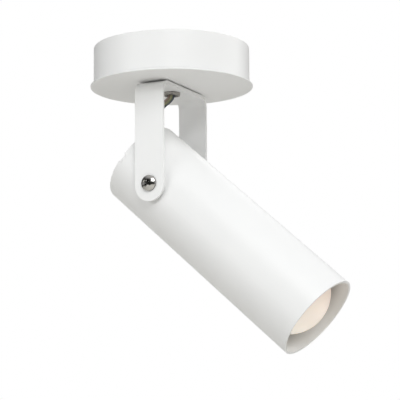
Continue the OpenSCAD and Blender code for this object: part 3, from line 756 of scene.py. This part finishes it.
def frames_along(route, points, first):
    """Direction and two square axes at each point, carried along without twist."""
    ends = (Vector(points[1]) - Vector(points[0]), Vector(points[-1]) - Vector(points[-2]))
    across = Vector(first)
    frames = []
    for i in range(len(route)):
        if i == 0:
            ahead = ends[0]
        elif i == len(route) - 1:
            ahead = ends[1]
        else:
            ahead = route[i + 1] - route[i - 1]
        ahead = ahead.normalized()
        across = (across - ahead * across.dot(ahead)).normalized()
        frames.append((ahead, across, ahead.cross(across)))
    return frames


def core_route(points, first, offset, angle, steps):
    """Middle line of one core, at an offset and an angle from a route."""
    turn = math.radians(angle)
    route = smooth_route(points, steps)
    frames = frames_along(route, points, first)
    middle = [
        p + offset * (n * math.cos(turn) + b * math.sin(turn))
        for p, (_, n, b) in zip(route, frames)
    ]
    return middle, frames


def core_piece(kind, stem, points, first, body, offset=0.0, angle=0.0, sides=16, steps=8):
    """One insulated core as a smooth tube, with a map along and around it."""
    middle, frames = core_route(points, first, offset, angle, steps)
    places = [
        Matrix.Translation(centre * MM) @ Matrix((n, b, ahead)).transposed().to_4x4()
        for centre, (ahead, n, b) in zip(middle, frames)
    ]
    mesh = bmesh.new()
    ring = bmesh.ops.create_circle(
        mesh, segments=sides, radius=CORE_R * MM, matrix=places[0]
    )["verts"]
    around = {v: place_around(places[0], v) for v in ring}
    along = {v: 0.0 for v in ring}
    edges = unique(e for v in ring for e in v.link_edges)
    run = 0.0
    for before, place in zip(places, places[1:]):
        grown = bmesh.ops.extrude_edge_only(mesh, edges=edges)["geom"]
        ring = [v for v in grown if isinstance(v, bmesh.types.BMVert)]
        edges = [e for e in grown if isinstance(e, bmesh.types.BMEdge)]
        bmesh.ops.transform(mesh, matrix=place @ before.inverted(), verts=ring)
        run += (place.translation - before.translation).length
        around.update({v: place_around(place, v) for v in ring})
        along.update({v: run for v in ring})
    rows = mesh.loops.layers.uv.new(ROUTE_MAP)
    for face in mesh.faces:
        turns = [around[v] for v in face.verts]
        wraps = max(turns) - min(turns) > 0.5
        for corner in face.loops:
            turn = around[corner.vert]
            corner[rows].uv = (along[corner.vert], turn + (1 if wraps and turn < 0.5 else 0))
    bmesh.ops.holes_fill(mesh, edges=[e for e in mesh.edges if e.is_boundary], sides=0)
    bmesh.ops.recalc_face_normals(mesh, faces=mesh.faces)
    return smooth_piece(f"{stem}_core_{kind}", mesh, "core_" + kind, body)


def place_around(place, vert):
    """Share of a turn at which a vertex lies round its station."""
    local = place.inverted() @ vert.co
    return math.atan2(local.y, local.x) / FULL_TURN % 1.0


def lead_points():
    """Route of the lead from the threaded tube's upper end through the grommet."""
    top = [(0, 0, NIPPLE_TOP), (0, 0, (NIPPLE_TOP + NIPPLE_END) / 2), (0, 0, NIPPLE_END + 1)]
    stations = (LEAD_IN_Z, CAP_Z - CAP_T, CAP_Z + GROMMET_IN_T)
    return top + LEAD_POINTS + [in_head((0, 0, z)) for z in stations]


def core_start(kind):
    turn = math.radians(CORE_ANGLES[kind])
    return Vector((CORE_OFFSET * math.cos(turn), -CORE_OFFSET * math.sin(turn), NIPPLE_TOP))


def core_finish(kind):
    points = lead_points()
    return core_route(points, (1, 0, 0), CORE_OFFSET, CORE_ANGLES[kind], steps=3)[0][-1]


# Pieces

class Spotlight:
    """What every operator of this add-on shares."""

    bl_options = {"REGISTER", "UNDO"}

    @property
    def sizes(self):
        return bpy.context.scene.spotlight_sizes


class SPOTLIGHT_OT_canopy(Spotlight, bpy.types.Operator):
    """Builds the canopy's wall with its turned-in flange, and the face with its round lip."""

    bl_idname = "spotlight.canopy"
    bl_label = "Canopy"

    def execute(self, context):
        inner = CANOPY_R - SHEET_T
        low = FACE_T - CANOPY_H
        flange = CANOPY_R - FLANGE_W
        wall = lathe([
            (inner, 0), (CANOPY_R, 0), (CANOPY_R, low), (flange, low),
            (flange, low + SHEET_T), (inner, low + SHEET_T),
        ])
        edge = self.sizes.sheet_round
        for r in (inner, CANOPY_R):
            round_ring(wall, r, 0, edge)
        round_ring(wall, CANOPY_R, low, 3.5 * edge, 5)
        round_ring(wall, inner, low + SHEET_T, 2 * edge)
        for z in (low, low + SHEET_T):
            round_ring(wall, flange, z, edge)
        smooth_piece("canopy_wall", wall, "white_coat", "canopy")
        hole = NIPPLE_R + FIT
        face = lathe([(hole, -CANOPY_H), (FACE_R, -CANOPY_H), (FACE_R, low), (hole, low)])
        for z in (low, -CANOPY_H):
            round_ring(face, FACE_R, z, FACE_T / 2 * MM * 0.96, 5)
            round_ring(face, hole, z, edge / 2, 2)
        smooth_piece("canopy_face", face, "white_coat", "canopy")
        return {"FINISHED"}


class SPOTLIGHT_OT_swivel(Spotlight, bpy.types.Operator):
    """Builds the hollow threaded tube, its nuts and the washer over the strap."""

    bl_idname = "spotlight.swivel"
    bl_label = "Swivel"

    def execute(self, context):
        smooth_piece("nipple", self.threaded_tube(), "dark_zinc", "canopy")
        hole, top, low = NIPPLE_R + FIT, -CANOPY_H, -CANOPY_H - SPACER_T
        washer = lathe([(hole, low), (SPACER_R, low), (SPACER_R, top), (hole, top)])
        for z in (top, low):
            round_ring(washer, SPACER_R, z, WASHER_ROUND)
        smooth_piece("spacer_washer", washer, "dark_zinc", "canopy")
        for node in ("lock_nut_upper", "lock_nut_lower", "strap_nut"):
            softened(node, "dark_zinc", "canopy")
        return {"FINISHED"}

    def threaded_tube(self):
        """Tube whose outside carries closed thread rings."""
        turns = int((NIPPLE_TOP - NIPPLE_END) / THREAD_PITCH)
        start = NIPPLE_END + (NIPPLE_TOP - NIPPLE_END - turns * THREAD_PITCH) / 2
        root = NIPPLE_R - THREAD_DEPTH
        profile = [(NIPPLE_BORE_R, NIPPLE_END), (root, NIPPLE_END)]
        for turn in range(turns):
            foot = start + turn * THREAD_PITCH
            profile += [
                (root, foot + 0.06), (NIPPLE_R, foot + 0.44),
                (NIPPLE_R, foot + 0.56), (root, foot + 0.94),
            ]
        profile += [(root, NIPPLE_TOP), (NIPPLE_BORE_R, NIPPLE_TOP)]
        return lathe(profile, steps=48)


class SPOTLIGHT_OT_fittings(Spotlight, bpy.types.Operator):
    """Dresses the mounting bar and the terminal block with their screws."""

    bl_idname = "spotlight.fittings"
    bl_label = "Fittings in the canopy"

    def execute(self, context):
        softened("mounting_bar", "steel", "canopy")
        softened("terminal_block", "ceramic", "canopy", CERAMIC_ROUND, 3)
        softened("bar_earth_screw", "brass", "canopy", SCREW_ROUND)
        for number in range(1, 7):
            softened(f"terminal_screw_{number}", "brass", "canopy", SCREW_ROUND)
        for number in (1, 2):
            softened(f"block_screw_{number}", "steel", "canopy", SCREW_ROUND)
        return {"FINISHED"}


class SPOTLIGHT_OT_strap(Spotlight, bpy.types.Operator):
    """Builds the U-shaped strap as a punched flat strip with round ends, then bends it."""

    bl_idname = "spotlight.strap"
    bl_label = "Strap"

    def execute(self, context):
        half = STRAP_W / 2
        flat = LEG_OUT - STRAP_BEND_R
        arc = STRAP_BEND_R * math.pi / 2
        leg = STRAP_TOP - STRAP_BEND_R - PIVOT_Z
        pivot = flat + arc + leg
        end = pivot + STRAP_TAIL
        strip = sheet_plate(STRAP_W, -end - half, end + half, columns=14, rows=168)
        for vert in strip.verts:
            x = vert.co.x / MM / half
            y = (abs(vert.co.y) / MM - end) / half
            if y > 0:
                vert.co.x = x * math.sqrt(1 - y * y / 2) * half * MM
                past = end + y * math.sqrt(1 - x * x / 2) * half
                vert.co.y = math.copysign(past * MM, vert.co.y)
        punch(strip, 0, 0, NIPPLE_R + FIT, clear=5.6)
        for side in (RIGHT, LEFT):
            punch(strip, 0, side * pivot, PIVOT_HOLE_R, clear=3.9)
        thicken(strip, STRAP_T)
        bevel(strip, sharp_edges(strip, SQUARE), self.sizes.strap_round, 4)
        for vert in strip.verts:
            vert.co = self.bent(vert.co, flat, arc)
        smooth_piece("strap", strip, "white_coat", "yoke")
        return {"FINISHED"}

    def bent(self, co, flat, arc):
        """Place on the bent strap of a point on the flat strip."""
        side = math.copysign(1, co.y)
        run, depth = abs(co.y) / MM, -co.z / MM
        if run <= flat:
            y, z = run, STRAP_TOP - depth
        elif run < flat + arc:
            turn = (run - flat) / STRAP_BEND_R
            y = flat + math.sin(turn) * (STRAP_BEND_R - depth)
            z = STRAP_TOP - STRAP_BEND_R + math.cos(turn) * (STRAP_BEND_R - depth)
        else:
            y, z = LEG_OUT - depth, STRAP_TOP - STRAP_BEND_R - (run - flat - arc)
        return Vector((co.x / MM, side * y, z)) * MM


class SPOTLIGHT_OT_tube(Spotlight, bpy.types.Operator):
    """Builds the head's tube as a punched and notched plate, then rolls it up."""

    bl_idname = "spotlight.tube"
    bl_label = "Tube and rear cap"

    def execute(self, context):
        round_length = FULL_TURN * TUBE_R
        plate = sheet_plate(round_length, REAR_Z, MOUTH_Z, columns=144, rows=96)
        middles = [side * round_length / 4 for side in (RIGHT, LEFT)]
        for middle in middles:
            for edge in (-NOTCH_W / 2, NOTCH_W / 2):
                slice_plate(plate, ((middle + edge) * MM, 0, 0), (1, 0, 0))
        slice_plate(plate, (0, CAP_Z * MM, 0), (0, 1, 0))
        for middle in middles:
            cut_out(plate, lambda c: c.y < CAP_Z * MM
                    and abs(c.x - middle * MM) < NOTCH_W / 2 * MM)
            punch(plate, middle, 0, PIVOT_HOLE_R, clear=5)
        thicken(plate, TUBE_T)
        seam = [
            f for f in plate.faces
            if all(near(abs(v.co.x), round_length / 2 * MM) for v in f.verts)
        ]
        bmesh.ops.delete(plate, geom=seam, context="FACES")
        bevel(plate, sharp_edges(plate, SQUARE), self.sizes.tube_round, 4)
        for vert in plate.verts:
            turn = vert.co.x / MM / TUBE_R
            r = TUBE_R * MM + vert.co.z
            vert.co = (r * math.cos(turn), r * math.sin(turn), vert.co.y)
        close_up(plate)
        smooth_piece("tube", plate, "tube_coat", "head", HEAD)
        softened("rear_cap", "white_coat", "head", PRESSED_ROUND, 3)
        return {"FINISHED"}


class SPOTLIGHT_OT_pivots(Spotlight, bpy.types.Operator):
    """Builds the two bright pivot screws with their cross recess, their washers and nuts."""

    bl_idname = "spotlight.pivots"
    bl_label = "Pivots"

    def execute(self, context):
        pivots = Matrix.Translation((0, 0, PIVOT_Z * MM))
        lift = Matrix.Translation((0, 0, (LEG_OUT + PLAY) * MM))
        low, top = TUBE_R + FIT, LEG_OUT - STRAP_T - PLAY
        for side, name, stop in ((RIGHT, "right", 62), (LEFT, "left", 20)):
            place = pivots @ Matrix.Rotation(-side * math.pi / 2, 4, "X")
            turn = Matrix.Rotation(math.radians(stop), 4, "Z")
            smooth_piece(
                f"pivot_screw_{name}", self.screw(), "chrome", "head", place @ lift @ turn
            )
            washer = lathe([
                (PIVOT_HOLE_R, low), (WASHER_R, low), (WASHER_R, top), (PIVOT_HOLE_R, top),
            ], steps=64)
            for z in (low, top):
                round_ring(washer, WASHER_R, z, WASHER_ROUND)
            smooth_piece(f"pivot_washer_{name}", washer, "steel", "head", place)
            softened(f"pivot_nut_{name}", "steel", "head")
        return {"FINISHED"}

    def screw(self):
        """Domed head with a cross recess, on its shank."""
        side_h = PIVOT_HEAD_H * (1 - CROWN_SHARE)
        profile = PIVOT_SHANK + [(PIVOT_HEAD_R, 0)]
        sweep, steps = math.asin(PIVOT_HEAD_R / CROWN_R), 9
        for step in range(steps + 1):
            turn = sweep * (1 - step / steps)
            profile.append((
                CROWN_R * math.sin(turn), PIVOT_HEAD_H - CROWN_R * (1 - math.cos(turn))
            ))
        mesh = lathe(profile, steps=64, closed=False)
        round_ring(mesh, PIVOT_HEAD_R, 0, HEAD_FOOT_ROUND, 2)
        round_ring(mesh, PIVOT_HEAD_R, side_h, HEAD_EDGE_ROUND)
        arm, reach = self.sizes.recess_width / 2, self.sizes.recess_reach
        crown_foot = side_h * 1.5 * MM
        upper = [
            g for f in mesh.faces if f.calc_center_median().z > crown_foot
            for g in (f, *f.edges, *f.verts)
        ]
        for no in (Vector((1, 0, 0)), Vector((0, 1, 0))):
            for place in (-reach, -arm, arm, reach):
                upper = bmesh.ops.bisect_plane(
                    mesh, geom=unique(upper), plane_co=no * place, plane_no=no, dist=SMALL / 10,
                )["geom"]

        def in_cross(c):
            low, high = sorted((abs(c.x), abs(c.y)))
            return c.z > crown_foot and low < arm and high < reach

        cut_out(mesh, in_cross)
        rim = [e for e in mesh.edges if e.is_boundary]
        grown = bmesh.ops.extrude_edge_only(mesh, edges=rim)["geom"]
        floor = PIVOT_HEAD_H * MM - self.sizes.recess_depth
        for vert in (v for v in grown if isinstance(v, bmesh.types.BMVert)):
            at_arm_end = vert.co.xy.length > 1.5 * arm
            shrink = 0.5 if at_arm_end else 0.85
            vert.co = (vert.co.x * shrink, vert.co.y * shrink, floor)
        base = bmesh.ops.holes_fill(mesh, edges=[e for e in mesh.edges if e.is_boundary], sides=0)
        point = bmesh.ops.poke(mesh, faces=base["faces"])["verts"]
        bmesh.ops.translate(mesh, vec=(0, 0, -arm), verts=point)
        bmesh.ops.recalc_face_normals(mesh, faces=mesh.faces)
        return mesh


class SPOTLIGHT_OT_lead(Spotlight, bpy.types.Operator):
    """Builds the lead's three cores, which bend between the strap's nut and the rear cap."""

    bl_idname = "spotlight.lead"
    bl_label = "Lead"

    def execute(self, context):
        end = tuple(c * MM for c in in_head((0, 0, LEAD_IN_Z)))
        for kind, angle in CORE_ANGLES.items():
            core = core_piece(
                kind, "lead", lead_points(), (1, 0, 0), None, CORE_OFFSET, angle, sides=20, steps=10
            )
            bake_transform(core)
        smooth_piece("lead_grommet", self.grommet(), "black_rubber", "head", HEAD)
        return {"FINISHED"}

    def grommet(self):
        """Rubber bush with a flange on each side of the rear cap."""
        bore, neck, flange = 2.4, 4.4, 6.0
        low, high = CAP_Z - CAP_T, CAP_Z
        outer, inner = low - GROMMET_OUT_T, high + GROMMET_IN_T
        mesh = lathe([
            (bore, outer), (flange, outer), (flange, low), (neck, low), (neck, high),
            (flange, high), (flange, inner), (bore, inner),
        ], steps=64)
        round_ring(mesh, flange, outer, GROMMET_FRONT_ROUND, 4)
        round_ring(mesh, bore, outer, GROMMET_BORE_ROUND)
        for z in (inner, high, low):
            round_ring(mesh, flange, z, GROMMET_ROUND)
        return mesh


class SPOTLIGHT_OT_wiring(Spotlight, bpy.types.Operator):
    """Builds the cores inside the canopy and inside the head."""

    bl_idname = "spotlight.wiring"
    bl_label = "Wiring"

    def execute(self, context):
        for kind, (shares, last) in CANOPY_ROUTES.items():
            start = core_start(kind)
            points = [start, start + Vector((0, 0, 1))]
            points += [Vector((x * POLE_PITCH, y * BLOCK_Y, z * NIPPLE_TOP)) for x, y, z in shares]
            core_piece(kind, "canopy", points + [Vector(p) for p in last], (1, 0, 0), "canopy")
        axis = Vector(in_head((0, 0, 1))) - Vector(in_head((0, 0, 0)))
        for kind, route in HEAD_ROUTES.items():
            start = core_finish(kind)
            points = [start, start + 2 * axis] + [Vector(in_head(p)) for p in route]
            core_piece(kind, "head", points, (0, 1, 0), "head")
        return {"FINISHED"}


class SPOTLIGHT_OT_lamp(Spotlight, bpy.types.Operator):
    """Builds the lamp's frosted dome and cone, and dresses its base, pins and holder."""

    bl_idname = "spotlight.lamp"
    bl_label = "Lamp"

    def execute(self, context):
        smooth_piece("lamp_dome", self.dome(), "frosted_cover", "head", HEAD)
        smooth_piece("lamp_cone", self.cone(), "lamp_shell", "head", HEAD)
        softened("lamp_holder", "ceramic", "head", CERAMIC_ROUND, 3)
        softened("lamp_base", "ceramic", "head", CERAMIC_ROUND, 3)
        softened("holder_bracket", "steel", "head", PRESSED_ROUND, 3)
        softened("bracket_earth_screw", "brass", "head", SCREW_ROUND)
        for name in ("right", "left"):
            softened(f"holder_screw_{name}", "steel", "head", SCREW_ROUND)
        for number in (1, 2):
            softened(f"lamp_pin_{number}", "steel", "head", PIN_ROUND, 3)
        return {"FINISHED"}

    def dome(self):
        """Thin spherical cap with a collar that sits in the lamp's rim."""
        outer = (DOME_R ** 2 + DOME_H ** 2) / (2 * DOME_H)
        centre = DOME_Z + DOME_H - outer

        def cap(radius, steps=28):
            sweep = math.acos((DOME_Z - centre) / radius)
            turns = [sweep * i / steps for i in range(steps + 1)]
            return [(radius * math.sin(t), centre + radius * math.cos(t)) for t in turns]

        collar, low = DOME_R - FIT - DOME_T / 2, DOME_Z - COLLAR_H
        foot = [(collar, DOME_Z), (collar, low), (collar - DOME_T, low)]
        return lathe(cap(outer) + foot + cap(outer - DOME_T)[::-1], closed=False)

    def cone(self):
        """Bulging cone with a straight rim and a seat for the dome's collar."""
        cone_z = DOME_Z - LAMP_RIM_H - CONE_H
        steps = 16
        side = [
            (CONE_LOW_R + (LAMP_R - CONE_LOW_R) * i / steps
             + CONE_BULGE * math.sin(math.pi * i / steps), cone_z + CONE_H * i / steps)
            for i in range(steps + 1)
        ]
        seat, low = DOME_R - DOME_T / 2, DOME_Z - COLLAR_H
        rim = [(LAMP_R, DOME_Z), (seat, DOME_Z), (seat, low), (0, low)]
        mesh = lathe([(0, cone_z)] + side + rim, closed=False)
        round_ring(mesh, LAMP_R, DOME_Z, LAMP_ROUND, 4)
        return mesh


# Stage, in metres

FLOOR_Z = -0.75
FLOOR_R = 3.0
FLOOR_DARK = (0.655, 0.645, 0.61)
FLOOR_PALE = (0.695, 0.685, 0.65)
SENSOR = 36.0
NEAR_CLIP = 0.01
FAR_CLIP = 100
FRAME_PX = 400
VIEW_FOCAL_PX = 1213.4
VIEW_PLACE = (0.33602, -0.65166, -0.19132)
VIEW_YAW = 0.45319
VIEW_PITCH = 0.13193
VIEW_ROLL = -0.00933
ROOM_GLOW = 0.02
CEILING_GLOW = 0.74
CEILING_LOW = 0.5
LIGHT_AIM = (0.02, 0, -0.08)
LIGHT_DISTANCE = 3.2
LIGHT_SIZE = 1.8
DAYLIGHT = (0.98, 0.992, 1)
WHITE = (1, 1, 1)
# Azimuth and elevation in degrees, power in watts, colour
LIGHTS = {
    "key": (-55, 35, 56, DAYLIGHT),
    "key_side": (-10, 35, 13.5, DAYLIGHT),
    "low_side": (-5, 2, 9, WHITE),
    "fill": (-120, 10, 31, DAYLIGHT),
    "edge_right": (40, 20, 26, WHITE),
    "edge_top": (105, 42, 20, WHITE),
    "edge_back": (130, 5, 8, WHITE),
    "edge_left": (-160, 10, 3.8, WHITE),
}


class SPOTLIGHT_OT_stage(Spotlight, bpy.types.Operator):
    """Adds the pale floor, the soft studio light and the camera."""

    bl_idname = "spotlight.stage"
    bl_label = "Stage"

    def execute(self, context):
        self.floor()
        self.surroundings()
        self.lights()
        self.camera()
        context.scene.view_settings.view_transform = "Standard"
        context.scene.view_settings.look = "None"
        return {"FINISHED"}

    def floor(self):
        mesh = bmesh.new()
        bmesh.ops.create_circle(mesh, cap_ends=True, segments=128, radius=FLOOR_R)
        bmesh.ops.translate(mesh, vec=(0, 0, FLOOR_Z), verts=mesh.verts)
        data = bpy.data.meshes.new("floor")
        mesh.to_mesh(data)
        mesh.free()
        floor = bpy.data.objects.new("floor", data)
        bpy.context.scene.collection.objects.link(floor)
        material = bpy.data.materials.new("pale_floor")
        material.use_nodes = True
        graph = Graph(material.node_tree)
        mottle = graph.noise(graph.where(), 0.4, 3)
        graph.surface(
            Base_Color=graph.blend(mottle, FLOOR_DARK, FLOOR_PALE),
            Roughness=0.6 + 0.1 * mottle,
        )
        data.materials.append(material)

    def surroundings(self):
        """White to the camera; to the object, a dim room under a broad bright ceiling."""
        world = bpy.data.worlds.new("studio")
        bpy.context.scene.world = world
        world.use_nodes = True
        graph = Graph(world.node_tree)
        ray = graph.add("ShaderNodeTexCoord", output="Generated")
        glow = ROOM_GLOW + CEILING_GLOW * part_of(graph, ray, "Z").between(CEILING_LOW, 1)
        room = graph.add("ShaderNodeBackground", None, {"Color": opaque(WHITE), "Strength": glow})
        white = graph.add("ShaderNodeBackground", None, {"Color": opaque(WHITE), "Strength": 1.0})
        seen = graph.add("ShaderNodeLightPath", output="Is Camera Ray")
        both = graph.add("ShaderNodeMixShader", None, {"Fac": seen, 1: room, 2: white})
        graph.add("ShaderNodeOutputWorld", None, {"Surface": both})

    def lights(self):
        for name, (azimuth, elevation, power, tint) in LIGHTS.items():
            data = bpy.data.lights.new(name, "AREA")
            data.shape = "SQUARE"
            data.size = LIGHT_SIZE
            data.energy = power
            data.color = tint
            lamp = bpy.data.objects.new(name, data)
            bpy.context.scene.collection.objects.link(lamp)
            turn, lift = math.radians(azimuth), math.radians(elevation)
            away = Vector((
                math.cos(turn) * math.cos(lift), math.sin(turn) * math.cos(lift), math.sin(lift)
            ))
            lamp.location = Vector(LIGHT_AIM) + LIGHT_DISTANCE * away
            lamp.rotation_euler = away.to_track_quat("Z", "Y").to_euler()

    def camera(self):
        data = bpy.data.cameras.new("camera")
        data.sensor_fit = "HORIZONTAL"
        data.sensor_width = SENSOR
        data.lens = VIEW_FOCAL_PX * SENSOR / FRAME_PX
        data.clip_start, data.clip_end = NEAR_CLIP, FAR_CLIP
        camera = bpy.data.objects.new("camera", data)
        bpy.context.scene.collection.objects.link(camera)
        yaw, pitch, roll = VIEW_YAW, VIEW_PITCH, VIEW_ROLL
        ahead = Vector((-math.sin(yaw) * math.cos(pitch), math.cos(yaw) * math.cos(pitch),
                        math.sin(pitch)))
        level = Vector((math.cos(yaw), math.sin(yaw), 0))
        right = level * math.cos(roll) + level.cross(ahead) * math.sin(roll)
        up = right.cross(ahead)
        turn = Matrix((right, up, -ahead)).transposed().to_4x4()
        camera.matrix_world = Matrix.Translation(VIEW_PLACE) @ turn
        bpy.context.scene.camera = camera


class SPOTLIGHT_PT_panel(bpy.types.Panel):
    """Lists the pieces, sizes and colours of the spotlight."""

    bl_idname = "SPOTLIGHT_PT_panel"
    bl_label = "Spotlight"
    bl_space_type = "VIEW_3D"
    bl_region_type = "UI"
    bl_category = "Spotlight"

    def draw(self, context):
        for group in (context.scene.spotlight_sizes, context.scene.spotlight_colours):
            box = self.layout.box()
            for name in group.bl_rna.properties.keys():
                if name not in ("rna_type", "name"):
                    box.prop(group, name)
        for operator in OPERATORS:
            self.layout.operator(operator.bl_idname)


OPERATORS = (
    SPOTLIGHT_OT_stage, SPOTLIGHT_OT_canopy, SPOTLIGHT_OT_swivel, SPOTLIGHT_OT_fittings,
    SPOTLIGHT_OT_strap, SPOTLIGHT_OT_tube, SPOTLIGHT_OT_pivots, SPOTLIGHT_OT_lead,
    SPOTLIGHT_OT_wiring, SPOTLIGHT_OT_lamp,
)
CLASSES = (SpotlightSizes, SpotlightColours, *OPERATORS, SPOTLIGHT_PT_panel)


def register():
    for cls in CLASSES:
        bpy.utils.register_class(cls)
    bpy.types.Scene.spotlight_sizes = bpy.props.PointerProperty(type=SpotlightSizes)
    bpy.types.Scene.spotlight_colours = bpy.props.PointerProperty(type=SpotlightColours)


def unregister():
    del bpy.types.Scene.spotlight_colours
    del bpy.types.Scene.spotlight_sizes
    for cls in reversed(CLASSES):
        bpy.utils.unregister_class(cls)


def main():
    register()
    for operator in OPERATORS:
        group, name = operator.bl_idname.split(".")
        getattr(getattr(bpy.ops, group), name)()


if __name__ == "__main__":
    main()
